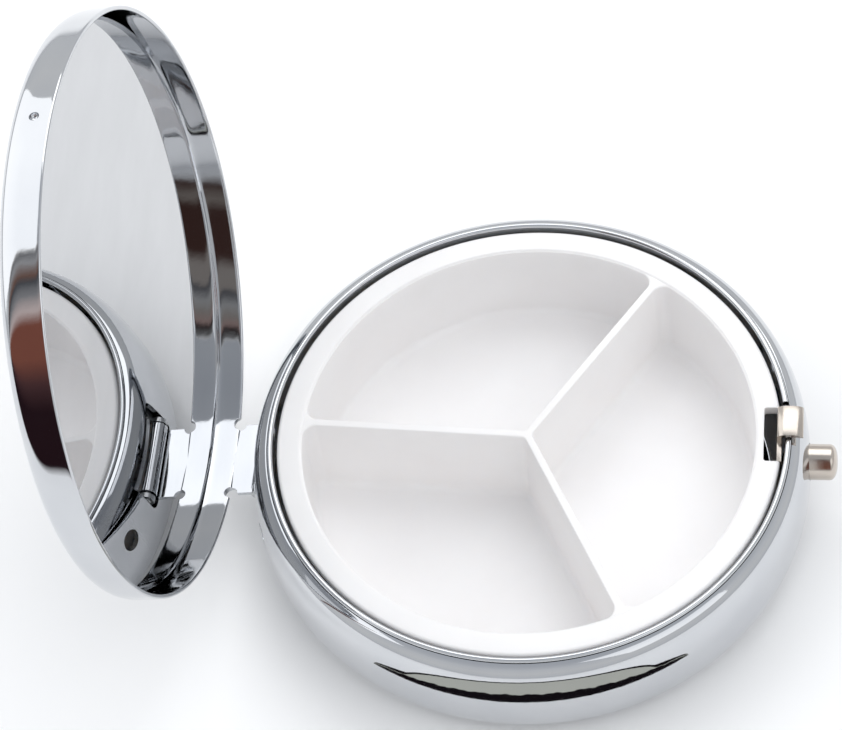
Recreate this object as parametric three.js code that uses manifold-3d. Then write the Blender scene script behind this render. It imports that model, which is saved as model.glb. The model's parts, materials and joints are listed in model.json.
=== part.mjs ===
// Round travel pill organizer: a plated metal case with a hinged mirror lid, a push-button latch
// and a three-compartment plastic tray. Units are millimetres and +Z is up.
// The origin is the centre of the flat underside. The hinge is at -X and the latch at +X.
// The lid stands open, as it is carried over a tray in use.

import * as THREE from 'three';
import { mergeVertices } from 'three/addons/utils/BufferGeometryUtils.js';
import Module from 'manifold-3d';

// ---- driving dimensions -------------------------------------------------------------------

const CASE_RADIUS = 25;            // widest point of the base's bulging wall
const SHEET = 0.5;                 // base sheet thickness
const RIM_TOP = 11.2;              // top edge of the collar that stands in the base's mouth
const BELLY_Z = 4.8;               // height of the widest point
const SHOULDER = { reach: 2.4, rise: 6.2, power: 3 };  // wall above the belly
const CORNER = { reach: 3.4, rise: BELLY_Z, power: 2 };  // wall below the belly
const ROUND_STEPS = 64;            // facets round each turned piece

const COLLAR = { inner: 22.75, outer: 23.25, height: 1.95 };
const COLLAR_GAP = 0.05;           // between the collar and the curled-in mouth of the base

const HINGE = { x: -24.15, z: 6.45, pinRadius: 0.45, play: 0.05, openAngle: 98 };
const TONGUE = { halfWidth: 3.7, sheet: 0.4, reliefRadius: 0.6 };
const HINGE_SLOT = { halfWidth: 4.65, low: 5.25, high: 9.5 };
const BRACKET = { inner: 23.75, outer: 24.15, halfAngle: 16.3, low: 3.8, high: 8.3 };
const BRACKET_WINDOW = { halfWidth: 3.9, low: 4.9, high: 7.7 };
const EAR = { thickness: 0.45, radius: 0.8 };
const PIN_HALF_LENGTH = 4.5;

const LID = { radius: 25.05, sheet: 0.4, edge: 9.45, top: 13.2, crown: 0.45 };
const LID_CORNER = { reach: 1.55, rise: 2.1, power: 2.8 };
const MIRROR = { radius: 24.1, face: 11.9, thickness: 0.7, bevel: 0.15 };
const PAD = { inner: 12, outer: 21.5, thickness: 0.16, gap: 0.02 };
const CATCH = { z: 10.95, radius: 0.45, reach: 0.7, dent: 0.3 };

const TRAY = { rim: 22.45, wall: 20.8, bore: 20.15, top: 10.85, flange: 1.0, floor: 0.8, bottom: 0.8 };
const DIVIDER = { turn: -2.5, top: 10.7, topWidth: 0.7, footWidth: 1.1 };
const TRAY_NOTCH = { low: -2.45, high: 3.15 };
const RIM_NOTCH = { low: -0.45, high: 3.6, depth: 0.75 };

const BUTTON = { z: 7.0, radius: 1.6, tip: 27.35, hole: 1.68, nose: 0.75 };
const BUTTON_FLANGE = { radius: 2.1, low: 23.3, high: 23.8 };
const BUTTON_STEM = { radius: 1.0, end: 22.42, dome: 0.35 };

const CLIP = { inside: 22.0, sheet: 0.4, low: -2.2, high: 2.9, bendZ: 3.3, bendRadius: 0.7, armTop: 4.4 };
const HOOK = { low: -0.3, high: 2.8, neck: 10.4, crown: 11.7, nose: 24.3, underside: 11.25 };

const DRAIN = { angle: -160, z: 6.7, radius: 1.0 };   // plating hole in the base's wall

const BASE_MOUTH = COLLAR.outer + COLLAR_GAP;
const RADIANS = Math.PI / 180;

// ---- materials ----------------------------------------------------------------------------

function metal(name, color, roughness) {
  return new THREE.MeshStandardMaterial({ name, color, roughness, metalness: 1 });
}

const CHROME = metal('chrome', 0xcdd0d5, 0.08);
const NICKEL = metal('nickel', 0xc8bfb2, 0.16);
const SPRING_STEEL = metal('spring_steel', 0xb9b4aa, 0.28);
const PLAIN_STEEL = metal('plain_steel', 0xa4a6a9, 0.35);
const MIRROR_GLASS = metal('mirror_glass', 0xe6ebee, 0.02);
const TRAY_PLASTIC = new THREE.MeshStandardMaterial({
  name: 'tray_plastic', color: 0xf4f2f1, roughness: 0.42, metalness: 0,
});
const FOAM_TAPE = new THREE.MeshStandardMaterial({
  name: 'foam_tape', color: 0xdedbd0, roughness: 0.9, metalness: 0,
});

// ---- solids -------------------------------------------------------------------------------

const wasm = await Module();
wasm.setup();

// A closed three.js geometry as a manifold solid, whichever way its faces wind.
function solid(geometry) {
  const bare = geometry.clone();
  bare.deleteAttribute('normal');
  bare.deleteAttribute('uv');
  const merged = mergeVertices(bare, 1e-5);
  const points = merged.attributes.position.array;
  const index = merged.index.array;
  const corner = (i) => new THREE.Vector3().fromArray(points, 3 * i);
  const faces = [];
  let volume = 0;
  for (let i = 0; i < index.length; i += 3) {
    const [a, b, c] = [index[i], index[i + 1], index[i + 2]];
    if (a === b || b === c || c === a) continue;
    faces.push([a, b, c]);
    volume += corner(a).dot(corner(b).cross(corner(c)));
  }
  const wound = volume > 0 ? faces : faces.map(([a, b, c]) => [a, c, b]);
  return new wasm.Manifold(new wasm.Mesh({
    numProp: 3,
    vertProperties: new Float32Array(points),
    triVerts: new Uint32Array(wound.flat()),
  }));
}

function named(name, shape, material) {
  const { vertProperties, triVerts } = shape.getMesh();
  const geometry = new THREE.BufferGeometry();
  geometry.setAttribute('position', new THREE.BufferAttribute(vertProperties, 3));
  geometry.setIndex(new THREE.BufferAttribute(triVerts, 1));
  geometry.computeVertexNormals();
  const mesh = new THREE.Mesh(geometry, material);
  mesh.name = name;
  return mesh;
}

// Turns a list of [radius, height] points about the Z axis.
function turned(profile, steps = ROUND_STEPS) {
  const points = profile.map(([r, z]) => new THREE.Vector2(r, z));
  return solid(new THREE.LatheGeometry(points, steps).rotateX(Math.PI / 2));
}

function block(x, y, z) {
  const geometry = new THREE.BoxGeometry(x[1] - x[0], y[1] - y[0], z[1] - z[0]);
  return solid(geometry.translate((x[0] + x[1]) / 2, (y[0] + y[1]) / 2, (z[0] + z[1]) / 2));
}

// Rods lie along X or Y, centred on the two coordinates that they do not run along.
function rodAlongX(radius, x, y, z, steps = 32) {
  const geometry = new THREE.CylinderGeometry(radius, radius, x[1] - x[0], steps);
  return solid(geometry.rotateZ(Math.PI / 2).translate((x[0] + x[1]) / 2, y, z));
}

function rodAlongY(radius, x, y, z, steps = 32) {
  return solid(new THREE.CylinderGeometry(radius, radius, y[1] - y[0], steps)
    .translate(x, (y[0] + y[1]) / 2, z));
}

// An outline drawn in X and Z, run along Y.
function plateAlongY(outline, y) {
  const shape = new THREE.Shape(outline.map(([x, z]) => new THREE.Vector2(x, z)));
  const geometry = new THREE.ExtrudeGeometry(shape, { depth: y[1] - y[0], bevelEnabled: false });
  return solid(geometry.rotateX(Math.PI / 2).translate(0, y[1], 0));
}

// Points along a superellipse from angle `from` to angle `to` in degrees; power 2 is an ellipse.
function sweep([r, z], reach, rise, from, to, steps, power = 2) {
  const signedRoot = (value) => Math.sign(value) * Math.abs(value) ** (2 / power);
  return Array.from({ length: steps + 1 }, (_, i) => {
    const angle = (from + (to - from) * i / steps) * RADIANS;
    return [r + reach * signedRoot(Math.cos(angle)), z + rise * signedRoot(Math.sin(angle))];
  });
}

// ---- base ---------------------------------------------------------------------------------

// One side of the base's wall, from the flat bottom up to the curled-in mouth.
function baseWall(inset) {
  const low = sweep([CASE_RADIUS - CORNER.reach, BELLY_Z],
    CORNER.reach - inset, CORNER.rise - inset, -90, 0, 7, CORNER.power);
  const high = sweep([CASE_RADIUS - SHOULDER.reach, BELLY_Z],
    SHOULDER.reach - inset, SHOULDER.rise - inset, 0, 90, 10, SHOULDER.power);
  return [...low, ...high.slice(1)].filter(([r, z]) => z < BELLY_Z || r > BASE_MOUTH);
}

// Height of the wall's top where it ends at the mouth.
function mouthHeight(inset) {
  const reach = SHOULDER.reach - inset;
  const across = (BASE_MOUTH - (CASE_RADIUS - SHOULDER.reach)) / reach;
  return BELLY_Z + (SHOULDER.rise - inset) * (1 - across ** SHOULDER.power) ** (1 / SHOULDER.power);
}

function baseShell() {
  const outside = [[0, 0], ...baseWall(0), [BASE_MOUTH, mouthHeight(0)]];
  const inside = [[0, SHEET], ...baseWall(SHEET), [BASE_MOUTH, mouthHeight(SHEET)]];
  const cup = turned([...outside, ...inside.reverse()]);
  const across = [-HINGE_SLOT.halfWidth, HINGE_SLOT.halfWidth];
  const slot = block([-26, -23], across, [HINGE_SLOT.low, HINGE_SLOT.high]);
  const buttonHole = rodAlongX(BUTTON.hole, [23, 26], 0, BUTTON.z);
  const drainGeometry = new THREE.CylinderGeometry(DRAIN.radius, DRAIN.radius, 3, 24);
  drainGeometry.rotateZ(Math.PI / 2).translate(CASE_RADIUS, 0, DRAIN.z);
  const drain = solid(drainGeometry.rotateZ(DRAIN.angle * RADIANS));
  return cup.subtract(slot).subtract(buttonHole).subtract(drain);
}

function rimCollar() {
  const { inner, outer, height } = COLLAR;
  const round = (outer - inner) / 2;
  const edge = sweep([inner + round, RIM_TOP - round], round, round, 0, 180, 6);
  const ring = turned([...edge, [inner, RIM_TOP - height], [outer, RIM_TOP - height], edge[0]]);
  const notchFloor = RIM_TOP - RIM_NOTCH.depth;
  return ring.subtract(block([22, 24], [RIM_NOTCH.low, RIM_NOTCH.high], [notchFloor, RIM_TOP + 1]));
}

// ---- hinge --------------------------------------------------------------------------------

// A curved plate inside the wall, with two ears that reach out through the slot to hold the pin.
function hingeBracket() {
  const start = (180 - BRACKET.halfAngle) * RADIANS;
  const end = (180 + BRACKET.halfAngle) * RADIANS;
  const sector = new THREE.Shape();
  sector.absarc(0, 0, BRACKET.outer, start, end, false);
  sector.absarc(0, 0, BRACKET.inner, end, start, true);
  const depth = BRACKET.high - BRACKET.low;
  const sheet = new THREE.ExtrudeGeometry(sector, { depth, bevelEnabled: false, curveSegments: 14 });
  const plate = solid(sheet.translate(0, 0, BRACKET.low));
  const { halfWidth, low, high } = BRACKET_WINDOW;
  let bracket = plate.subtract(block([-26, -23], [-halfWidth, halfWidth], [low, high]));
  for (const side of [-1, 1]) {
    const y = [side * halfWidth, side * (halfWidth + EAR.thickness)].sort((a, b) => a - b);
    const arm = block([HINGE.x, -BRACKET.inner + 0.2], y, [HINGE.z - EAR.radius, HINGE.z + EAR.radius]);
    const end = rodAlongY(EAR.radius, HINGE.x, y, HINGE.z, 28);
    bracket = bracket.add(arm).add(end);
  }
  const bore = rodAlongY(HINGE.pinRadius + HINGE.play, HINGE.x, [-6, 6], HINGE.z, 28);
  return bracket.subtract(bore);
}

function hingePin() {
  return rodAlongY(HINGE.pinRadius, HINGE.x, [-PIN_HALF_LENGTH, PIN_HALF_LENGTH], HINGE.z, 28);
}

// The lid's tongue, drawn with the lid shut: a flat leaf whose end curls round the pin.
function hingeTongue() {
  const bore = HINGE.pinRadius + HINGE.play;
  const centre = [HINGE.x, HINGE.z];
  const curlEnd = 110;
  const outside = sweep(centre, bore + TONGUE.sheet, bore + TONGUE.sheet, 180, 360 + curlEnd, 24);
  const inside = sweep(centre, bore, bore, 360 + curlEnd, 180, 24);
  const rootZ = LID.edge + 1;
  const leaf = [[HINGE.x - bore, rootZ], [HINGE.x - bore - TONGUE.sheet, rootZ]];
  return plateAlongY([...outside, ...inside, ...leaf], [-TONGUE.halfWidth, TONGUE.halfWidth]);
}

// Half-round relief cuts either side of the tongue's root, centred on the corner it makes with the lid's lip.
function tongueRelief(side) {
  return rodAlongX(TONGUE.reliefRadius, [-26, -23.6], side * TONGUE.halfWidth, LID.edge, 24);
}

// ---- lid, drawn shut ----------------------------------------------------------------------

function lidSkin(inset) {
  const { radius, top, crown } = LID;
  const centre = [radius - LID_CORNER.reach, top - LID_CORNER.rise];
  const bend = sweep(centre, LID_CORNER.reach - inset, LID_CORNER.rise - inset, 0, 90, 6,
    LID_CORNER.power);
  const domeSteps = 4;
  const dome = Array.from({ length: domeSteps }, (_, i) => {
    const share = 1 - (i + 1) / domeSteps;
    return [centre[0] * share, top - inset + crown * (1 - share ** 2)];
  });
  return [...bend, ...dome];
}

function lidShell() {
  const { radius, sheet, edge } = LID;
  const lip = sweep([radius - sheet / 2, edge + sheet / 2], sheet / 2, sheet / 2, -180, 0, 6);
  const pan = turned([...lidSkin(sheet).reverse(), ...lip, ...lidSkin(0)]);
  const bump = new THREE.CylinderGeometry(CATCH.radius, CATCH.radius * 0.4, CATCH.reach, 16);
  const bumpAt = radius - sheet - CATCH.reach / 2 + 0.1;
  const dent = new THREE.CylinderGeometry(CATCH.radius, CATCH.radius * 0.5, CATCH.dent * 2, 16);
  const catchBump = solid(bump.rotateZ(-Math.PI / 2).translate(bumpAt, 0, CATCH.z));
  const catchDent = solid(dent.rotateZ(-Math.PI / 2).translate(radius, 0, CATCH.z));
  const body = pan.add(hingeTongue()).add(catchBump).subtract(catchDent);
  return body.subtract(tongueRelief(-1)).subtract(tongueRelief(1));
}

function mirrorDisc() {
  const { radius, face, thickness, bevel } = MIRROR;
  const back = face + thickness;
  return turned([[0, face], [radius - bevel, face], [radius, face + bevel], [radius, back], [0, back]]);
}

function mirrorPad() {
  const low = MIRROR.face + MIRROR.thickness + PAD.gap;
  const high = low + PAD.thickness;
  const { inner, outer } = PAD;
  return turned([[inner, low], [outer, low], [outer, high], [inner, high], [inner, low]], 48);
}

// ---- tray ---------------------------------------------------------------------------------

function trayDivider(angle) {
  const foot = TRAY.bottom + TRAY.floor / 2;
  const height = DIVIDER.top - foot;
  const taper = DIVIDER.topWidth / 2;
  const outline = [[-DIVIDER.footWidth / 2, 0], [DIVIDER.footWidth / 2, 0], [taper, height], [-taper, height]];
  const shape = new THREE.Shape(outline.map(([x, z]) => new THREE.Vector2(x, z)));
  const reach = (TRAY.bore + TRAY.wall) / 2;
  const arm = new THREE.ExtrudeGeometry(shape, { depth: reach, bevelEnabled: false });
  arm.rotateX(Math.PI / 2).translate(0, reach, foot);
  return solid(arm.rotateZ((angle - 90) * RADIANS));
}

function pillTray() {
  const { rim, wall, bore, top, flange, floor, bottom } = TRAY;
  const round = 0.3;
  const rimEdge = sweep([rim - round, top - round], round, round, 0, 90, 4);
  const boreEdge = sweep([bore + round, top - round], round, round, 90, 180, 4);
  const footFillet = sweep([bore - 2 * round, bottom + floor + 2 * round],
    2 * round, 2 * round, 0, -90, 4);
  const underside = [[0, bottom], [wall - round, bottom], [wall, bottom + round]];
  const ledge = [[wall, top - flange], [rim, top - flange]];
  const cup = [...underside, ...ledge, ...rimEdge, ...boreEdge, ...footFillet, [0, bottom + floor]];
  let tray = turned(cup);
  for (const arm of [180, 60, -60]) {
    tray = tray.add(trayDivider(arm + DIVIDER.turn));
  }
  const notch = block([wall + 0.05, rim + 1], [TRAY_NOTCH.low, TRAY_NOTCH.high], [top - flange - 1, top + 1]);
  return tray.subtract(notch);
}

// ---- latch --------------------------------------------------------------------------------

// The leg and the arm of the spring clip, joined by a U-bend near the floor of the base.
function clipStrip() {
  const { inside, sheet, bendZ, bendRadius, armTop } = CLIP;
  const centre = [inside + sheet / 2 + bendRadius, bendZ];
  const outer = bendRadius + sheet / 2;
  const inner = bendRadius - sheet / 2;
  const outline = [
    [inside, HOOK.neck], ...sweep(centre, outer, outer, 180, 360, 12),
    [centre[0] + outer, armTop], [centre[0] + inner, armTop],
    ...sweep(centre, inner, inner, 360, 180, 12), [inside + sheet, HOOK.neck],
  ];
  return plateAlongY(outline, [CLIP.low, CLIP.high]);
}

// The narrower hook rises from the leg, rolls over the collar and ends in a blunt nose.
function clipHook() {
  const { inside, sheet } = CLIP;
  const { neck, crown, nose, underside } = HOOK;
  const middle = (inside + nose) / 2;
  const reach = (nose - inside) / 2;
  const base = [middle, underside];
  const over = sweep(base, reach, crown - underside, 180, 0, 14, 2.4);
  const under = sweep(base, reach - sheet, crown - underside - sheet + 0.02, 0, 180, 14, 2.4);
  const outline = [[inside, neck - 0.5], ...over, ...under, [inside + sheet, neck - 0.5]];
  return plateAlongY(outline, [HOOK.low, HOOK.high]);
}

function latchClip() {
  return clipStrip().add(clipHook());
}

function pushButton() {
  const { radius, tip, nose } = BUTTON;
  const { end, dome } = BUTTON_STEM;
  const outline = [
    ...sweep([0, end + dome], BUTTON_STEM.radius, dome, -90, 0, 6),
    [BUTTON_STEM.radius, BUTTON_FLANGE.low], [BUTTON_FLANGE.radius, BUTTON_FLANGE.low],
    [BUTTON_FLANGE.radius, BUTTON_FLANGE.high], [radius, BUTTON_FLANGE.high],
    ...sweep([0, tip - nose], radius, nose, 0, 90, 8, 2.4),
  ];
  const onAxis = 1e-6;
  const points = outline.map(([r, x]) => new THREE.Vector2(r < onAxis ? 0 : r, x));
  return solid(new THREE.LatheGeometry(points, 32).rotateZ(-Math.PI / 2).translate(0, 0, BUTTON.z));
}

// ---- assembly -----------------------------------------------------------------------------

// Lid pieces are drawn shut, then swung back about the hinge pin.
function openLid(...meshes) {
  const swing = new THREE.Group();
  swing.position.set(HINGE.x, 0, HINGE.z);
  swing.rotation.y = -HINGE.openAngle * RADIANS;
  for (const mesh of meshes) {
    mesh.position.set(-HINGE.x, 0, -HINGE.z);
    swing.add(mesh);
  }
  return swing;
}

const organizer = new THREE.Group();
organizer.name = 'travel_pill_organizer';
organizer.add(
  named('base_shell', baseShell(), CHROME),
  named('rim_collar', rimCollar(), CHROME),
  named('hinge_bracket', hingeBracket(), PLAIN_STEEL),
  named('hinge_pin', hingePin(), PLAIN_STEEL),
  named('pill_tray', pillTray(), TRAY_PLASTIC),
  named('latch_clip', latchClip(), SPRING_STEEL),
  named('push_button', pushButton(), NICKEL),
  openLid(
    named('lid_shell', lidShell(), CHROME),
    named('mirror_disc', mirrorDisc(), MIRROR_GLASS),
    named('mirror_pad', mirrorPad(), FOAM_TAPE),
  ),
);

export default organizer;
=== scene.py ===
"""Visual model of the round travel pill organizer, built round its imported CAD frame.

Shapes are drawn in millimetres and stored in metres. +Z is up, the hinge is at -X and the latch at +X.
Lid pieces are drawn shut and swung open about the hinge joint.
"""

import json
import math

import bmesh
import bpy
from mathutils import Matrix, Vector


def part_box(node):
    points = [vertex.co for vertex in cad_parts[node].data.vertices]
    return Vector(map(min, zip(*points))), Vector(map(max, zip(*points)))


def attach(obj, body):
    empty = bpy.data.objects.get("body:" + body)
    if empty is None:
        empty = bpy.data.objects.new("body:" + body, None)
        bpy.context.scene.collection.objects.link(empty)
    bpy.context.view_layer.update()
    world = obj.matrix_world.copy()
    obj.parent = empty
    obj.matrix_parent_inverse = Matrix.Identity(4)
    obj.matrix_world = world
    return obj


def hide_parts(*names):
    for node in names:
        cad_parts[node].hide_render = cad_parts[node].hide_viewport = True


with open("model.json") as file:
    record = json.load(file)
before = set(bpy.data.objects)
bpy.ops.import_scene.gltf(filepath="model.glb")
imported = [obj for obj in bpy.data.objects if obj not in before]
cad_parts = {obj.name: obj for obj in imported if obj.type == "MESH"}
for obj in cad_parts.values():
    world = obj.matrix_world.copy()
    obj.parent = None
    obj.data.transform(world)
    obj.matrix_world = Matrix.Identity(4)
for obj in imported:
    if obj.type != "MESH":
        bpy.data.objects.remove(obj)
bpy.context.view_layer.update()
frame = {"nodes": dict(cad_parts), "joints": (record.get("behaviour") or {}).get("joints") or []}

MM = 0.001
STEPS = 288          # segments round the large turned pieces
SMALL_STEPS = 96     # segments round the small ones
ON_AXIS = 1e-6       # a radius below this is a pole


def node_box(node):
    low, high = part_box(node)
    return low / MM, high / MM


joints = {joint["name"]: joint for joint in frame["joints"]}
HINGE = Vector(joints["lid_hinge"]["pos_m"]) / MM
OPEN_ANGLE = math.radians(joints["lid_hinge"]["range_deg"][1])

# ---- dimensions, in millimetres, from the CAD boxes where they give them ---------------------

SHELL_HIGH = node_box("base_shell")[1]
COLLAR_LOW, COLLAR_HIGH = node_box("rim_collar")
TRAY_LOW, TRAY_HIGH = node_box("pill_tray")
BUTTON_LOW, BUTTON_HIGH = node_box("push_button")
CLIP_LOW, CLIP_HIGH = node_box("latch_clip")

CASE_RADIUS = SHELL_HIGH.x
BELLY_Z = 4.8
SHEET = 0.5
SHOULDER = {"reach": 2.4, "rise": 6.2, "power": 3.0}
CORNER = {"reach": 3.4, "rise": BELLY_Z, "power": 2.0}
COLLAR = {"inner": COLLAR_HIGH.x - 0.5, "outer": COLLAR_HIGH.x, "low": COLLAR_LOW.z, "top": COLLAR_HIGH.z}
COLLAR_GAP = 0.05
BASE_MOUTH = COLLAR["outer"] + COLLAR_GAP
FLAT_RADIUS = 12            # an extra ring in the flat of the base
THROUGH_WALL = (23, 26)     # the radii between which a cutter passes through a wall
HINGE_SLOT = {"half_width": 4.65, "low": 5.25, "high": 9.5}
RIM_NOTCH = {"low": -0.45, "high": 3.6, "depth": 0.75}
DRAIN = {"angle": math.radians(-160), "z": 6.7, "radius": 1.0}

LID = {"radius": 25.05, "sheet": 0.4, "edge": 9.45, "top": 13.2, "crown": 0.45}
LID_CORNER = {"reach": 1.55, "rise": 2.1, "power": 2.8}
LID_WALL_ROWS = {"first": 0.4, "step": 0.3, "count": 5}    # above the edge
TONGUE = {"half_width": 3.7, "sheet": 0.4, "bore": 0.5, "relief_radius": 0.6}
MIRROR = {"radius": 24.1, "face": 11.9, "thickness": 0.7, "bevel": 0.15}
CATCH = {"z": 10.95, "dent": 0.42, "bump": 0.34, "sink": 0.15}

RIM_PAST_NOTCH = 0.1        # puts back most of what the latch notch takes off the tray's box
TRAY = {
    "rim": TRAY_HIGH.x + RIM_PAST_NOTCH, "top": TRAY_HIGH.z, "bottom": TRAY_LOW.z,
    "wall": 20.8, "bore": 20.15, "flange": 1.0, "floor": 0.8,
}
DIVIDER = {"turn": math.radians(-2.5), "top": 10.7, "half_top": 0.35, "half_foot": 0.55}
TRAY_NOTCH = {"low": -2.45, "high": 3.15}

BUTTON = {"z": 7.0, "radius": 1.6, "tip": BUTTON_HIGH.x, "end": BUTTON_LOW.x, "hole": 1.68}
BUTTON_FLANGE = {"radius": 2.1, "low": 23.3, "high": 23.8}
CLIP = {"inside": CLIP_LOW.x, "sheet": 0.4, "low": CLIP_LOW.y, "high": CLIP_HIGH.y,
        "bend_z": 3.3, "bend_radius": 0.7, "arm_top": 4.4}
HOOK = {"low": -0.3, "high": 2.8, "neck": 10.4, "crown": CLIP_HIGH.z, "nose": 24.3, "underside": 11.25,
        "power": 2.4}
PIN = {"radius": 0.45, "half_length": 4.5}


# ---- mesh tools ------------------------------------------------------------------------------

def mesh_object(name, points, faces, closed=True):
    mesh = bpy.data.meshes.new(name)
    mesh.from_pydata([Vector(p) * MM for p in points], [], faces)
    if closed:
        work = bmesh.new()
        work.from_mesh(mesh)
        bmesh.ops.recalc_face_normals(work, faces=work.faces)
        work.to_mesh(mesh)
        work.free()
    made = bpy.data.objects.new(name, mesh)
    bpy.context.scene.collection.objects.link(made)
    return made


def skin(name, rings, capped=False, looped=False):
    """Joins rings of points with quads. A ring of one point is a pole."""
    points, numbered = [], []
    for ring in rings:
        numbered.append(range(len(points), len(points) + len(ring)))
        points += ring
    pairs = list(zip(numbered, numbered[1:]))
    if looped:
        pairs.append((numbered[-1], numbered[0]))
    faces = []
    for low, high in pairs:
        count = max(len(low), len(high))
        for k in range(count):
            after = (k + 1) % count
            corners = [low[k % len(low)], low[after % len(low)], high[after % len(high)], high[k % len(high)]]
            face = list(dict.fromkeys(corners))
            if len(face) > 2:
                faces.append(face)
    if capped:
        faces += [list(numbered[0]), list(numbered[-1])]
    return mesh_object(name, points, faces)


def turned(name, profile, steps=STEPS, looped=False):
    """Turns [radius, height] points about Z."""
    rings = []
    for radius, z in profile:
        if radius < ON_AXIS:
            rings.append([(0, 0, z)])
            continue
        turns = [2 * math.pi * k / steps for k in range(steps)]
        rings.append([(radius * math.cos(a), radius * math.sin(a), z) for a in turns])
    return skin(name, rings, looped=looped)


def plate_along_y(name, outline, low, high):
    return skin(name, [[(x, y, z) for x, z in outline] for y in (low, high)], capped=True)


def block(name, x, y, z):
    outline = [(x[0], z[0]), (x[1], z[0]), (x[1], z[1]), (x[0], z[1])]
    return plate_along_y(name, outline, *y)


def rod(name, radius, low, high, place, steps=SMALL_STEPS):
    """A plain round cutter along Z from low to high, moved by `place`."""
    made = turned(name, [(0, low), (radius, low), (radius, high), (0, high)], steps)
    return moved(made, place)


def ball(name, radius, centre):
    arc = [math.pi * k / 24 - math.pi / 2 for k in range(25)]
    profile = [(radius * math.cos(a), radius * math.sin(a)) for a in arc]
    profile[0] = (0, -radius)
    profile[-1] = (0, radius)
    return moved(turned(name, profile, 48), Matrix.Translation(Vector(centre) * MM))


def moved(made, matrix):
    made.data.transform(matrix)
    return made


def along_x(y, z):
    """Takes something drawn along Z and lays it along X."""
    return Matrix.Translation(Vector((0, y, z)) * MM) @ Matrix.Rotation(math.pi / 2, 4, "Y")


def sweep(centre, reach, rise, start, end, steps, power=2.0):
    """Points along a superellipse between two angles in degrees."""
    points = []
    for k in range(steps + 1):
        angle = math.radians(start + (end - start) * k / steps)
        across, up = math.cos(angle), math.sin(angle)
        points.append((
            centre[0] + reach * math.copysign(abs(across) ** (2 / power), across),
            centre[1] + rise * math.copysign(abs(up) ** (2 / power), up),
        ))
    return points


def apply_modifiers(made):
    graph = bpy.context.evaluated_depsgraph_get()
    result = bpy.data.meshes.new_from_object(made.evaluated_get(graph))
    made.modifiers.clear()
    made.data = result
    return made


def combine(made, other, operation):
    change = made.modifiers.new(operation, "BOOLEAN")
    change.operation = operation
    change.object = other
    change.solver = "EXACT"
    apply_modifiers(made)
    bpy.data.objects.remove(other)


def cut(made, *others):
    for other in others:
        combine(made, other, "DIFFERENCE")


def soften(made, width, angle=40, segments=3):
    """Rounds the edges sharper than `angle` degrees."""
    change = made.modifiers.new("edges", "BEVEL")
    change.width = width * MM
    change.segments = segments
    change.limit_method = "ANGLE"
    change.angle_limit = math.radians(angle)
    return apply_modifiers(made)


def finish(made, body, nodes, material, sharp=32):
    """Smooths a piece, gives it its material and hands it to its body in place of the CAD nodes."""
    mesh = made.data
    mesh.polygons.foreach_set("use_smooth", [True] * len(mesh.polygons))
    mesh.set_sharp_from_angle(angle=math.radians(sharp))
    change = made.modifiers.new("weights", "WEIGHTED_NORMAL")
    change.keep_sharp = True
    change.weight = 80
    apply_modifiers(made)
    made.data.materials.clear()
    made.data.materials.append(material)
    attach(made, body)
    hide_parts(*nodes)


# ---- materials -------------------------------------------------------------------------------

def graded(tree, source, stops):
    """A colour ramp over (place, colour) stops. A colour is RGB, or RGBA."""
    ramp = tree.nodes.new("ShaderNodeValToRGB")
    elements = ramp.color_ramp.elements
    while len(elements) < len(stops):
        elements.new(0.5)
    for element, (place, colour) in zip(elements, stops):
        element.position = place
        element.color = (*colour, 1) if len(colour) == 3 else colour
    tree.links.new(source, ramp.inputs["Fac"])
    return ramp


class Shader:
    """A small helper round one Principled material's nodes."""

    def __init__(self, name, **sockets):
        self.material = bpy.data.materials.new(name)
        self.material.use_nodes = True
        self.tree = self.material.node_tree
        self.main = self.tree.nodes["Principled BSDF"]
        for socket, value in sockets.items():
            self.main.inputs[socket.replace("_", " ")].default_value = value
        self.place = self.tree.nodes.new("ShaderNodeTexCoord").outputs["Object"]

    def link(self, source, target):
        self.tree.links.new(source, target)

    def stretched(self, scale):
        mapping = self.tree.nodes.new("ShaderNodeMapping")
        mapping.inputs["Scale"].default_value = scale
        self.link(self.place, mapping.inputs["Vector"])
        return mapping.outputs["Vector"]

    def noise(self, scale, detail=3.0, roughness=0.5, vector=None):
        node = self.tree.nodes.new("ShaderNodeTexNoise")
        node.inputs["Scale"].default_value = scale
        node.inputs["Detail"].default_value = detail
        node.inputs["Roughness"].default_value = roughness
        self.link(vector or self.place, node.inputs["Vector"])
        return node.outputs["Fac"]

    def ramp(self, source, *stops):
        return graded(self.tree, source, stops).outputs["Color"]

    def span(self, source, low, high):
        """Maps the middle of a noise onto low..high."""
        node = self.tree.nodes.new("ShaderNodeMapRange")
        node.inputs["From Min"].default_value = 0.3
        node.inputs["From Max"].default_value = 0.7
        node.inputs["To Min"].default_value = low
        node.inputs["To Max"].default_value = high
        self.link(source, node.inputs["Value"])
        return node.outputs["Result"]

    def bump(self, *layers):
        """Each layer is (height source, height in metres)."""
        normal = None
        for source, height in layers:
            node = self.tree.nodes.new("ShaderNodeBump")
            node.inputs["Strength"].default_value = 1.0
            node.inputs["Distance"].default_value = height
            self.link(source, node.inputs["Height"])
            if normal:
                self.link(normal, node.inputs["Normal"])
            normal = node.outputs["Normal"]
        self.link(normal, self.main.inputs["Normal"])


def plated(name, dull, bright, gloss, matt, wave=5e-6, grain=3e-7):
    """Thin bright plating over pressed sheet: faint waviness, orange peel, fine grain and patchy gloss."""
    shader = Shader(name, Metallic=1.0)
    patches = shader.noise(160, 4)
    colour = shader.ramp(patches, (0.3, dull), (0.62, bright))
    shader.link(colour, shader.main.inputs["Base Color"])
    scuffs = shader.noise(900, 6, 0.65, shader.stretched((1, 1, 3)))
    shader.link(shader.span(scuffs, gloss, matt), shader.main.inputs["Roughness"])
    peel = shader.noise(1300, 3)
    shader.bump((shader.noise(260, 2), wave), (peel, wave / 2), (shader.noise(1900, 2), grain))
    return shader.material


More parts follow.
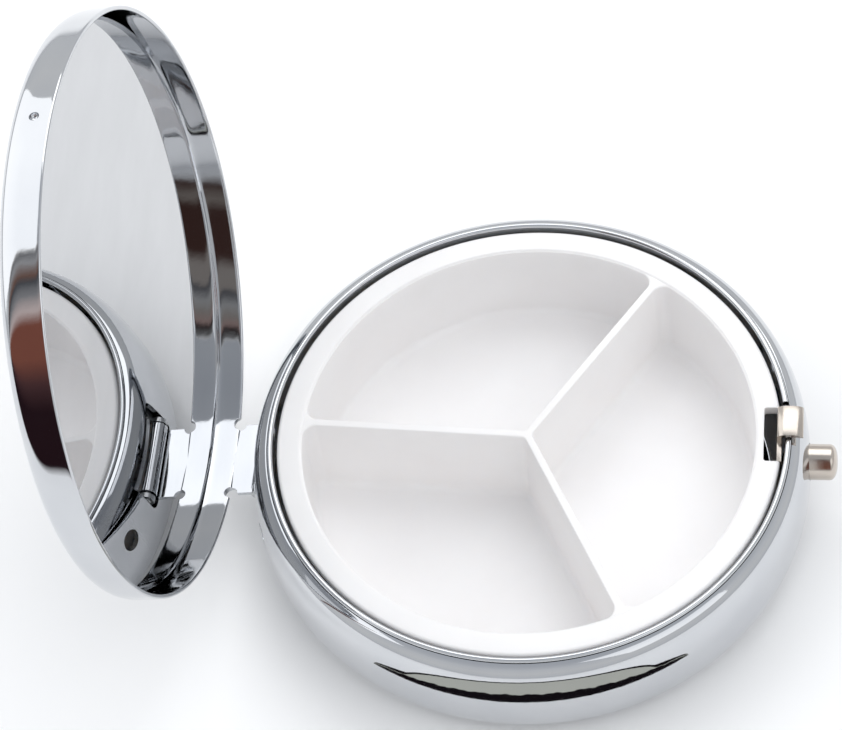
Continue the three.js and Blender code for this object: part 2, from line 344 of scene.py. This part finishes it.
def tray_plastic():
    """Satin white moulding with a faint mottle and a fine tool texture."""
    shader = Shader("tray_plastic", IOR=1.49, Subsurface_Weight=0.35, Subsurface_Scale=0.0012)
    shader.main.inputs["Subsurface Radius"].default_value = (1.0, 0.95, 0.9)
    mottle = shader.noise(120, 3)
    colour = shader.ramp(mottle, (0.3, (0.915, 0.897, 0.892)), (0.7, (0.95, 0.934, 0.929)))
    shader.link(colour, shader.main.inputs["Base Color"])
    shader.link(shader.span(shader.noise(700, 4), 0.42, 0.56), shader.main.inputs["Roughness"])
    shader.bump((shader.noise(420, 2), 4e-6), (shader.noise(5200, 3), 1.2e-6))
    return shader.material


def mirror_glass():
    """Silvered glass with faint smears."""
    shader = Shader("mirror_glass", Metallic=1.0)
    smears = shader.noise(90, 5, 0.6, shader.stretched((1, 1, 2.5)))
    colour = shader.ramp(smears, (0.35, (0.57, 0.577, 0.59)), (0.7, (0.605, 0.612, 0.625)))
    shader.link(colour, shader.main.inputs["Base Color"])
    shader.link(shader.span(smears, 0.0, 0.018), shader.main.inputs["Roughness"])
    return shader.material


def foam_tape():
    shader = Shader("foam_tape")
    cells = shader.noise(2600, 4, 0.7)
    colour = shader.ramp(cells, (0.3, (0.74, 0.72, 0.66)), (0.7, (0.88, 0.86, 0.81)))
    shader.link(colour, shader.main.inputs["Base Color"])
    shader.link(shader.span(cells, 0.8, 0.95), shader.main.inputs["Roughness"])
    shader.bump((cells, 4e-5))
    return shader.material


CHROME = plated("chrome_plate", (0.60, 0.615, 0.64), (0.635, 0.648, 0.668), 0.035, 0.07)
NICKEL = plated("nickel_plate", (0.50, 0.45, 0.40), (0.63, 0.57, 0.51), 0.17, 0.26)
STEEL = plated("plain_steel", (0.50, 0.51, 0.52), (0.64, 0.65, 0.66), 0.24, 0.36, grain=1e-6)
PLASTIC = tray_plastic()
GLASS = mirror_glass()
TAPE = foam_tape()


# ---- base ------------------------------------------------------------------------------------

def base_wall(inset):
    """One side of the wall, from the flat bottom up to the curled-in mouth."""
    low = sweep((CASE_RADIUS - CORNER["reach"], BELLY_Z), CORNER["reach"] - inset,
                CORNER["rise"] - inset, -90, 0, 28, CORNER["power"])
    reach, rise, power = SHOULDER["reach"] - inset, SHOULDER["rise"] - inset, SHOULDER["power"]
    smallest = 0.02      # leaves no sliver between the curve and the mouth
    inner = CASE_RADIUS - SHOULDER["reach"]
    high = sweep((inner, BELLY_Z), reach, rise, 0, 90, 56, power)
    mouth = BELLY_Z + rise * (1 - ((BASE_MOUTH - inner) / reach) ** power) ** (1 / power)
    kept = [point for point in high[1:] if point[0] > BASE_MOUTH + smallest]
    return low + kept + [(BASE_MOUTH, mouth)]


def base_pan():
    profile = ([(0, 0), (FLAT_RADIUS, 0)] + base_wall(0) + base_wall(SHEET)[::-1]
               + [(FLAT_RADIUS, SHEET), (0, SHEET)])
    pan = turned("base_pan", profile)
    half = HINGE_SLOT["half_width"]
    near, far = THROUGH_WALL
    slot = block("slot", (-far, -near), (-half, half), (HINGE_SLOT["low"], HINGE_SLOT["high"]))
    soften(slot, 0.5, segments=5)
    button_hole = rod("button_hole", BUTTON["hole"], near, far, along_x(0, BUTTON["z"]))
    turn = Matrix.Rotation(DRAIN["angle"], 4, "Z")
    drain = rod("drain", DRAIN["radius"], near, far, turn @ along_x(0, DRAIN["z"]))
    cut(pan, slot, button_hole, drain)
    finish(pan, "base", ["base_shell"], CHROME)


def collar_ring():
    round_over = (COLLAR["outer"] - COLLAR["inner"]) / 2
    middle = (COLLAR["outer"] + COLLAR["inner"]) / 2
    edge = sweep((middle, COLLAR["top"] - round_over), round_over, round_over, 0, 180, 16)
    ring = turned("collar_ring", edge + [(COLLAR["inner"], COLLAR["low"]), (COLLAR["outer"], COLLAR["low"])],
                  looped=True)
    floor = COLLAR["top"] - RIM_NOTCH["depth"]
    notch = block("notch", (22, 24), (RIM_NOTCH["low"], RIM_NOTCH["high"]), (floor, COLLAR["top"] + 1))
    soften(notch, 0.2)
    cut(ring, notch)
    finish(ring, "base", ["rim_collar"], CHROME)


def hinge_pin():
    half, radius, round_over = PIN["half_length"], PIN["radius"], 0.12
    end = sweep((radius - round_over, half - round_over), round_over, round_over, 0, 90, 6)
    side = end + [(0, half)]
    profile = [(r, -z) for r, z in side[::-1]] + side
    pin = moved(turned("hinge_rod", profile, SMALL_STEPS), Matrix.Rotation(math.pi / 2, 4, "X"))
    moved(pin, Matrix.Translation(HINGE * MM))
    finish(pin, "base", ["hinge_pin"], STEEL)


# ---- lid, drawn shut -------------------------------------------------------------------------

def lid_skin(inset):
    """From the wall's top up round the bend to the middle of the gently crowned top."""
    radius, top, crown = LID["radius"], LID["top"], LID["crown"]
    centre = (radius - LID_CORNER["reach"], top - LID_CORNER["rise"])
    bend = sweep(centre, LID_CORNER["reach"] - inset, LID_CORNER["rise"] - inset, 0, 90, 30,
                 LID_CORNER["power"])
    steps = 24
    dome = []
    for k in range(1, steps + 1):
        share = 1 - k / steps
        dome.append((centre[0] * share, top - inset + crown * (1 - share ** 2)))
    return bend + dome


def tongue():
    """A flat leaf that carries the lid's wall down to a curl round the hinge pin."""
    bore, sheet, half = TONGUE["bore"], TONGUE["sheet"], TONGUE["half_width"]
    centre = (HINGE.x, HINGE.z)
    root = LID["edge"] + 1
    outside = sweep(centre, bore + sheet, bore + sheet, 180, 470, 56)
    inside = sweep(centre, bore, bore, 470, 180, 56)
    outer_x, inner_x = HINGE.x - bore - sheet, HINGE.x - bore
    leaf = [(inner_x, HINGE.z + 1.5), (inner_x, root), (outer_x, root), (outer_x, HINGE.z + 1.5)]
    return soften(plate_along_y("tongue", outside + inside + leaf, -half, half), 0.07, 50, 2)


def tongue_relief(side):
    """A half-round cut in the corner between the tongue and the lid's lip."""
    lay = along_x(side * TONGUE["half_width"], LID["edge"])
    return rod("relief", TONGUE["relief_radius"], -26, -23.6, lay, 48)


def swung_open(made):
    pivot = Matrix.Translation(HINGE * MM)
    return moved(made, pivot @ Matrix.Rotation(-OPEN_ANGLE, 4, "Y") @ pivot.inverted())


def lid_pan():
    radius, sheet, edge = LID["radius"], LID["sheet"], LID["edge"]
    lip = sweep((radius - sheet / 2, edge + sheet / 2), sheet / 2, sheet / 2, -180, 0, 14)
    rows = LID_WALL_ROWS
    wall = [edge + rows["first"] + rows["step"] * k for k in range(rows["count"])]
    inner = [(radius - sheet, z) for z in wall]
    outer = [(radius, z) for z in wall]
    profile = lid_skin(sheet)[::-1] + inner[::-1] + lip + outer + lid_skin(0)
    pan = turned("lid_pan", profile)
    combine(pan, tongue(), "UNION")
    bump = ball("bump", CATCH["bump"], (radius - sheet - CATCH["sink"], 0, CATCH["z"]))
    combine(pan, bump, "UNION")
    dent = ball("dent", CATCH["dent"], (radius, 0, CATCH["z"]))
    cut(pan, dent, tongue_relief(-1), tongue_relief(1))
    finish(swung_open(pan), "lid", ["lid_shell"], CHROME)


def lid_mirror():
    radius, face, bevel = MIRROR["radius"], MIRROR["face"], MIRROR["bevel"]
    back = face + MIRROR["thickness"]
    profile = [(0, face), (radius * 0.5, face), (radius - bevel, face), (radius, face + bevel),
               (radius, back - bevel / 2), (radius - bevel / 2, back), (0, back)]
    disc = swung_open(turned("lid_mirror", profile))
    finish(disc, "lid", ["mirror_disc"], GLASS, sharp=20)


# ---- tray ------------------------------------------------------------------------------------

def pocket_outline(half_wall, radius, corner, apex):
    """One compartment's outline between dividers at +-60 degrees, its corners rounded."""
    spread = math.radians(60)
    apex_x = (half_wall + apex) / math.sin(spread)
    inner = radius - corner
    turn = spread - math.asin((half_wall + corner) / inner)
    far = Vector((inner * math.cos(turn), inner * math.sin(turn)))
    side = math.radians(150)

    def arc(centre, size, start, end, steps):
        angles = [start + (end - start) * k / steps for k in range(steps + 1)]
        return [(centre[0] + size * math.cos(a), centre[1] + size * math.sin(a)) for a in angles]

    start = arc((apex_x, 0), apex, 2 * math.pi - side, side, 10)
    corner_up = arc(far, corner, side, turn, 14)
    outer = arc((0, 0), radius, turn, -turn, 72)
    corner_down = arc((far.x, -far.y), corner, -turn, -side, 14)

    def straight(a, b, steps=14):
        return [(a[0] + (b[0] - a[0]) * k / steps, a[1] + (b[1] - a[1]) * k / steps)
                for k in range(1, steps)]

    return (start + straight(start[-1], corner_up[0]) + corner_up + outer[1:-1] + corner_down
            + straight(corner_down[-1], start[0]))


def pocket(angle):
    """A compartment's hollow: rounded at the divider's top, drafted, with a fillet at its foot."""
    top, floor = DIVIDER["top"], TRAY["bottom"] + TRAY["floor"]
    lip, fillet, corner, apex, draft = 0.14, 0.75, 1.1, 0.55, 0.12
    levels = [(top + 1, DIVIDER["half_top"] - lip, TRAY["bore"] + lip, 0)]
    for k in range(6):
        bend = math.radians(90 * k / 5)
        flare = lip * (1 - math.sin(bend))
        levels.append((top - lip * (1 - math.cos(bend)), DIVIDER["half_top"] - flare,
                       TRAY["bore"] + flare, 0))
    foot = floor + fillet
    for k in range(1, 8):
        share = k / 8
        half = DIVIDER["half_top"] + (DIVIDER["half_foot"] - DIVIDER["half_top"]) * share
        levels.append((top - lip + (foot - top + lip) * share, half, TRAY["bore"] - draft * share, 0))
    for k in range(9):
        bend = math.radians(90 * k / 8)
        inset = fillet * (1 - math.cos(bend))
        levels.append((floor + fillet * (1 - math.sin(bend)), DIVIDER["half_foot"] + inset,
                       TRAY["bore"] - draft - inset, inset))
    rings = []
    for z, half, radius, shrink in levels:
        outline = pocket_outline(half, radius, corner - shrink, max(apex - shrink, 0.05))
        rings.append([
            (x * math.cos(angle) - y * math.sin(angle), x * math.sin(angle) + y * math.cos(angle), z)
            for x, y in outline
        ])
    return skin("pocket", rings, capped=True)


def tray():
    rim, top, bottom, wall = TRAY["rim"], TRAY["top"], TRAY["bottom"], TRAY["wall"]
    ledge, edge, soft, extra_ring = top - TRAY["flange"], 0.32, 0.3, 10
    profile = [(0, bottom), (extra_ring, bottom)]
    profile += sweep((wall - edge, bottom + edge), edge, edge, -90, 0, 8)
    profile += [(wall, ledge), (rim - 0.1, ledge), (rim, ledge + 0.1)]
    profile += sweep((rim - edge, top - edge), edge, edge, 0, 90, 10)
    inner_edge = sweep((TRAY["bore"] + soft + 0.05, top - soft), soft, soft, 90, 180, 10)
    profile += [point for point in inner_edge if point[1] > DIVIDER["top"] + 0.01]
    profile += [(profile[-1][0] - 0.03, DIVIDER["top"]), (extra_ring, DIVIDER["top"]), (0, DIVIDER["top"])]
    body = turned("tray", profile)
    for angle in (120, 0, -120):
        cut(body, pocket(math.radians(angle) + DIVIDER["turn"]))
    notch = block("notch", (wall + 0.05, rim + 1), (TRAY_NOTCH["low"], TRAY_NOTCH["high"]),
                  (ledge - 1, top + 1))
    soften(notch, 0.25)
    cut(body, notch)
    finish(body, "tray", ["pill_tray"], PLASTIC, sharp=38)


# ---- latch -----------------------------------------------------------------------------------

def clip_spring():
    inside, sheet, bend_z, bend = CLIP["inside"], CLIP["sheet"], CLIP["bend_z"], CLIP["bend_radius"]
    centre = (inside + sheet / 2 + bend, bend_z)
    outer, inner = bend + sheet / 2, bend - sheet / 2
    strip = ([(inside, HOOK["neck"])] + sweep(centre, outer, outer, 180, 360, 32)
             + [(centre[0] + outer, CLIP["arm_top"]), (centre[0] + inner, CLIP["arm_top"])]
             + sweep(centre, inner, inner, 360, 180, 32) + [(inside + sheet, HOOK["neck"])])
    middle, reach = (inside + HOOK["nose"]) / 2, (HOOK["nose"] - inside) / 2
    rise = HOOK["crown"] - HOOK["underside"]
    base = (middle, HOOK["underside"])
    over = sweep(base, reach, rise, 180, 0, 36, HOOK["power"])
    under = sweep(base, reach - sheet, rise - sheet + 0.02, 0, 180, 36, HOOK["power"])
    neck = HOOK["neck"] - 0.5
    hook = [(inside, neck)] + over + under + [(inside + sheet, neck)]
    clip = plate_along_y("clip_spring", strip, CLIP["low"], CLIP["high"])
    combine(clip, plate_along_y("hook", hook, HOOK["low"], HOOK["high"]), "UNION")
    soften(clip, 0.07, 50, 2)
    finish(clip, "latch", ["latch_clip"], NICKEL)


def push_pin():
    radius, tip, end, flange = BUTTON["radius"], BUTTON["tip"], BUTTON["end"], BUTTON_FLANGE
    nose, dome, stem, edge, neck = 0.75, 0.35, 1.0, 0.06, 25.2
    profile = [(0, end)] + sweep((0, end + dome), stem, dome, -90, 0, 12)[1:]
    profile += [(stem, flange["low"]), (flange["radius"] - edge, flange["low"]),
                (flange["radius"], flange["low"] + edge), (flange["radius"], flange["high"] - edge),
                (flange["radius"] - edge, flange["high"]), (radius, flange["high"]), (radius, neck)]
    profile += sweep((0, tip - nose), radius, nose, 0, 90, 24, 2.4)[:-1] + [(0, tip)]
    pin = moved(turned("push_pin", profile, SMALL_STEPS), along_x(0, BUTTON["z"]))
    finish(pin, "button", ["push_button"], NICKEL)


base_pan()
collar_ring()
hinge_pin()
lid_pan()
lid_mirror()
tray()
clip_spring()
push_pin()

for node, material in (("hinge_bracket", STEEL), ("mirror_pad", TAPE)):
    kept = frame["nodes"][node]
    kept.data.materials.clear()
    kept.data.materials.append(material)


# ---- floor, light and camera -----------------------------------------------------------------

def pale_floor():
    size = 1500
    floor = mesh_object("floor", [(-size, -size, -0.02), (size, -size, -0.02), (size, size, -0.02),
                                  (-size, size, -0.02)], [(0, 1, 2, 3)])
    shader = Shader("floor_paper", Roughness=0.85)
    grain = shader.noise(9, 4)
    colour = shader.ramp(grain, (0.3, (0.93, 0.93, 0.93)), (0.7, (0.97, 0.97, 0.97)))
    shader.link(colour, shader.main.inputs["Base Color"])
    shader.main.inputs["Specular IOR Level"].default_value = 0.2
    floor.data.materials.append(shader.material)


def glowing(name, height, *stops):
    """A one-sided reflection card's material, graded by height from the floor up to `height`."""
    material = bpy.data.materials.new(name)
    material.use_nodes = True
    tree = material.node_tree
    tree.nodes.clear()
    place = tree.nodes.new("ShaderNodeNewGeometry")
    split = tree.nodes.new("ShaderNodeSeparateXYZ")
    lift = tree.nodes.new("ShaderNodeMapRange")
    lift.inputs["From Max"].default_value = height * MM
    tree.links.new(place.outputs["Position"], split.inputs[0])
    tree.links.new(split.outputs["Z"], lift.inputs["Value"])
    ramp = graded(tree, lift.outputs["Result"], [(z / height, colour) for z, colour in stops])
    front = tree.nodes.new("ShaderNodeMath")
    front.operation = "SUBTRACT"
    tree.links.new(ramp.outputs["Alpha"], front.inputs[0])
    tree.links.new(place.outputs["Backfacing"], front.inputs[1])
    front.use_clamp = True
    glow = tree.nodes.new("ShaderNodeEmission")
    clear = tree.nodes.new("ShaderNodeBsdfTransparent")
    mix = tree.nodes.new("ShaderNodeMixShader")
    out = tree.nodes.new("ShaderNodeOutputMaterial")
    tree.links.new(ramp.outputs["Color"], glow.inputs["Color"])
    tree.links.new(front.outputs[0], mix.inputs[0])
    tree.links.new(clear.outputs[0], mix.inputs[1])
    tree.links.new(glow.outputs[0], mix.inputs[2])
    tree.links.new(mix.outputs[0], out.inputs["Surface"])
    return material


def reflection_only(made):
    made.visible_camera = False
    made.visible_diffuse = False
    made.visible_shadow = False
    made.visible_transmission = False
    made.visible_volume_scatter = False


def standing_card(name, foot, height, *stops):
    """An upright one-sided card along `foot`, facing right of the way from its first point to its last."""
    (x0, y0), (x1, y1) = foot
    card = mesh_object(name, [(x0, y0, 2), (x1, y1, 2), (x1, y1, height), (x0, y0, height)],
                       [(0, 1, 2, 3)], closed=False)
    card.data.materials.append(glowing(name, height, *stops))
    reflection_only(card)


def painted_reflection_flags():
    """Glowing cards, seen only in reflections, that paint dark reflections of a lived-in room into the lid's
    polished wall.

    The first is seen by the outside of the wall, and the second by the inside, by way of the mirror.
    A small third one is seen by the button.
    """
    # colours of the painted reflections, graded up each card from its foot
    black, brown, red = (0.02, 0.009, 0.012), (0.07, 0.033, 0.035), (0.22, 0.078, 0.055)
    grey = (0.25, 0.25, 0.26)
    start, heading, near, far = Vector((-45, -32)), math.radians(-72), -14, 330
    along = Vector((math.sin(heading), -math.cos(heading)))
    standing_card(
        "outer_painted_reflection", (start + along * near, start + along * far), 300,
        (37.5, (*black, 0)), (38.5, black), (46, black), (50, brown), (55, red), (66, red),
        (72, (0.6, 0.5, 0.48)), (83, grey), (97, (0.08, 0.085, 0.095)), (108, (0.17, 0.10, 0.08)),
        (145, (0.36, 0.36, 0.37)), (200, (0.19, 0.19, 0.2)), (262, (0.6, 0.6, 0.6)), (290, (1, 1, 1)),
        (298, (1, 1, 1, 0)))
    umber, dusk = (0.06, 0.03, 0.025), (0.30, 0.27, 0.25)
    standing_card(
        "inner_painted_reflection", ((-12, -12), (-27, -6.5)), 75,
        (20.5, (0.5, 0.5, 0.5, 0)), (22, umber), (24, (0.22, 0.19, 0.17)), (25.5, umber), (32, umber),
        (34.5, dusk), (38.5, dusk), (40, (0.10, 0.10, 0.11)), (44, (0.37, 0.37, 0.37)), (49, dusk),
        (54, (0.35, 0.25, 0.23)), (58.5, (0.04, 0.03, 0.03)), (66, (0.2, 0.2, 0.2)), (70, (0.8, 0.8, 0.8)),
        (71, (0.8, 0.8, 0.8, 0)))
    # painted reflection: a dark brown band on the button's lower side
    standing_card(
        "button_painted_reflection", ((28.2, -5), (25.6, -5)), 24,
        (8, (*umber, 0)), (8.5, (0.2, 0.08, 0.055)), (16, (0.13, 0.05, 0.035)), (23, umber),
        (24, (*umber, 0)))


def painted_reflection_arc():
    """A glowing arc on the floor before the case, black at its edges and grey in its middle, seen only in the
    chrome: a painted reflection of a dark line and a grey band.
    """
    start, end, steps = math.radians(-125), math.radians(-49), 256
    rings = [[], [], [], []]
    for k in range(steps + 1):
        share = k / steps
        turn = start + (end - start) * share
        swell = math.sin(math.pi * share) ** 0.7
        ragged = 0.25 * math.sin(61 * turn) + 0.15 * math.sin(147 * turn + 1)
        middle = max(0, (swell - 0.45) / 0.55)
        # radii of the arc's near edge, the two sides of its grey middle, and its far edge
        edges = (29.7, 29.9 + (3.0 + ragged) * swell, 30.1 + (2.9 + ragged) * swell + 20 * middle,
                 30.3 + 6 * swell + 23 * middle)
        for ring, radius in zip(rings, edges):
            ring.append((radius * math.cos(turn), radius * math.sin(turn), 0.4))
    points = [p for ring in rings for p in ring]
    faces, kinds, width = [], [], steps + 1
    for band in range(3):
        for k in range(steps):
            low = band * width + k
            faces.append((low, low + width, low + 1 + width, low + 1))
            kinds.append(1 if band == 1 else 0)
    card = mesh_object("painted_reflection_arc", points, faces, closed=False)
    # colours of the painted reflection: a black line and a grey band
    black, grey = (0.008, 0.006, 0.008), (0.55, 0.56, 0.51)
    card.data.materials.append(glowing("painted_reflection_black", 1, (0, black), (1, black)))
    card.data.materials.append(glowing("painted_reflection_grey", 1, (0, grey), (1, grey)))
    card.data.polygons.foreach_set("material_index", kinds)
    reflection_only(card)


def sky():
    world = bpy.data.worlds.new("studio")
    bpy.context.scene.world = world
    world.use_nodes = True
    tree = world.node_tree
    back = tree.nodes["Background"]
    place = tree.nodes.new("ShaderNodeTexCoord").outputs["Generated"]
    split = tree.nodes.new("ShaderNodeSeparateXYZ")
    lift = tree.nodes.new("ShaderNodeMapRange")
    lift.inputs["From Min"].default_value = -1
    tree.links.new(place, split.inputs[0])
    tree.links.new(split.outputs["Z"], lift.inputs["Value"])
    ramp = graded(tree, lift.outputs["Result"], [
        (0.0, (0.8, 0.8, 0.8)), (0.5, (0.80, 0.82, 0.85)), (0.68, (0.88, 0.89, 0.90)),
        (0.86, (0.82, 0.84, 0.87)), (1.0, (0.62, 0.65, 0.70))])
    tree.links.new(ramp.outputs["Color"], back.inputs["Color"])
    back.inputs["Strength"].default_value = 0.8


def soft_box(name, place, aim, size, power, reflected=True):
    """A rectangular light, in metres and watts, aimed from one place at another."""
    light = bpy.data.lights.new(name, "AREA")
    light.shape = "RECTANGLE"
    light.size, light.size_y = size
    light.energy = power
    made = bpy.data.objects.new(name, light)
    bpy.context.scene.collection.objects.link(made)
    made.location = Vector(place)
    made.rotation_euler = (Vector(aim) - Vector(place)).to_track_quat("-Z", "Y").to_euler()
    made.visible_glossy = reflected


def camera():
    """The camera's measured azimuth, elevation, roll and distance from its aim."""
    azimuth, elevation, roll = (math.radians(a) for a in (13.24, 54.78, -9.99))
    aim, distance = Vector((-10.04, 6.87, COLLAR["top"])), 258.78
    ahead = Vector((-math.sin(azimuth) * math.cos(elevation),
                    math.cos(azimuth) * math.cos(elevation), -math.sin(elevation)))
    right = Vector((math.cos(azimuth), math.sin(azimuth), 0))
    up = right.cross(ahead)
    across = math.cos(roll) * right + math.sin(roll) * up
    above = -math.sin(roll) * right + math.cos(roll) * up
    lens = bpy.data.cameras.new("camera")
    lens.sensor_width = 36
    lens.lens = 122.47
    lens.clip_start = 0.01
    made = bpy.data.objects.new("camera", lens)
    bpy.context.scene.collection.objects.link(made)
    turn = Matrix((across, above, -ahead)).transposed().to_4x4()
    made.matrix_world = Matrix.Translation((aim - distance * ahead) * MM) @ turn
    bpy.context.scene.camera = made


pale_floor()
painted_reflection_flags()
painted_reflection_arc()
sky()
soft_box("key", (0.03, 0.34, 0.49), (0, 0, 0), (0.42, 0.42), 0.95)
soft_box("side", (-0.40, 0.12, 0.33), (0, 0, 0.02), (0.62, 0.6), 0.95)
soft_box("overhead", (0.22, -0.05, 0.62), (0, 0, 0), (0.6, 0.6), 0.9, reflected=False)
soft_box("fill", (0.35, -0.25, 0.5), (0, 0, 0), (0.4, 0.4), 0.3)
camera()
bpy.context.scene.view_settings.view_transform = "Standard"
